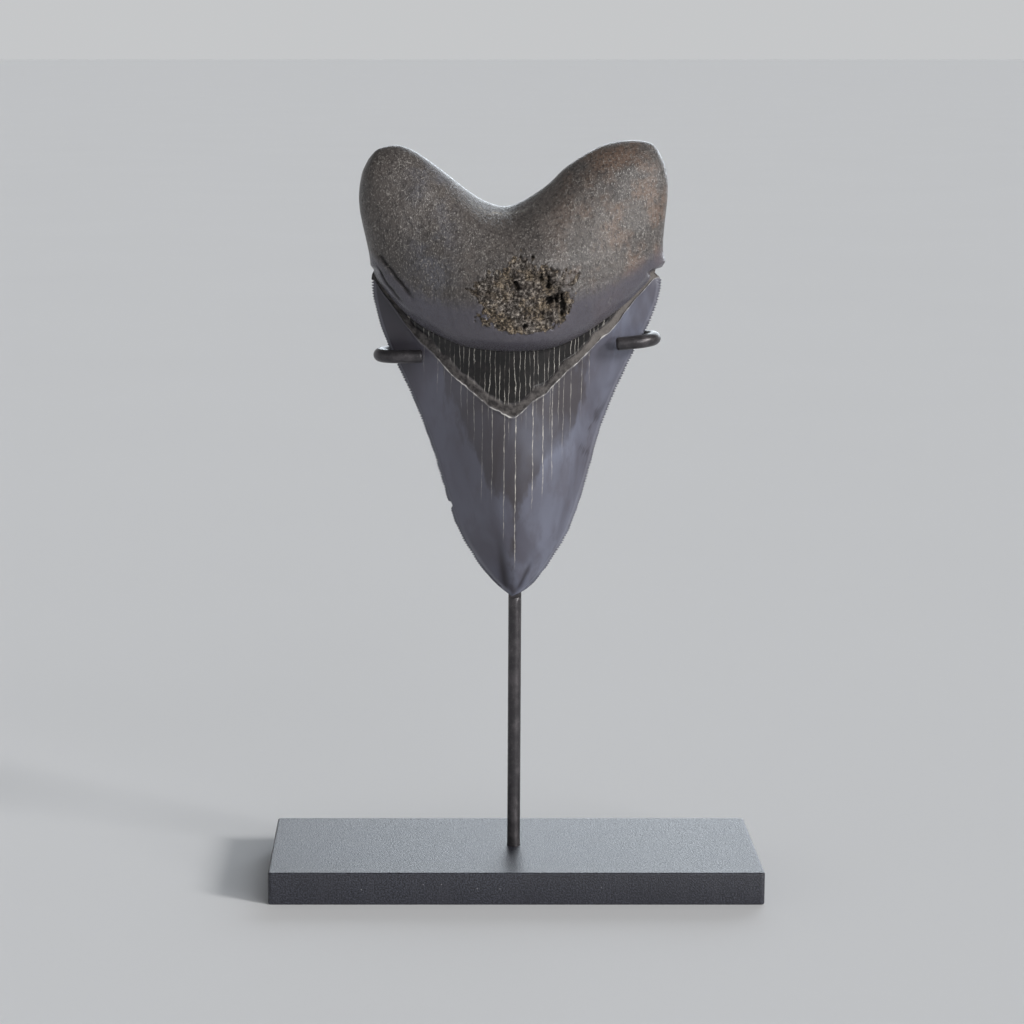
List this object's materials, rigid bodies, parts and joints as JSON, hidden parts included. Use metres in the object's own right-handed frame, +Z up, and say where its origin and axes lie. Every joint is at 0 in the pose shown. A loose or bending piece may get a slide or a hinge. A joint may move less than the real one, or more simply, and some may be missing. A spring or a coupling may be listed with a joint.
{
  "type": "megalodon tooth on display stand",
  "caption": "Fossil shark tooth standing root up on its tip, held by a steel stand with a flat base, an upright rod and hooked arms.",
  "frame": {"origin": "centre of the base's underside, on the surface that the stand rests on", "axes": "+Z up, +X along the base's length to the right as seen from the tooth's bulging face, -Y towards the viewer of that face"},
  "size_m": [0.15, 0.06, 0.2281],
  "materials": {
    "base_steel": "steel with a dark satin coating and a fine speckle",
    "rod_steel": "blackened steel rod, satin",
    "fossil": "polished slate-blue enamel and grainy grey-brown root, mineralised"
  },
  "bodies": {
    "root": {"base": "base_steel", "post": "rod_steel", "left_arm": "rod_steel", "right_arm": "rod_steel", "tooth": "fossil"}
  },
  "joints": []
}
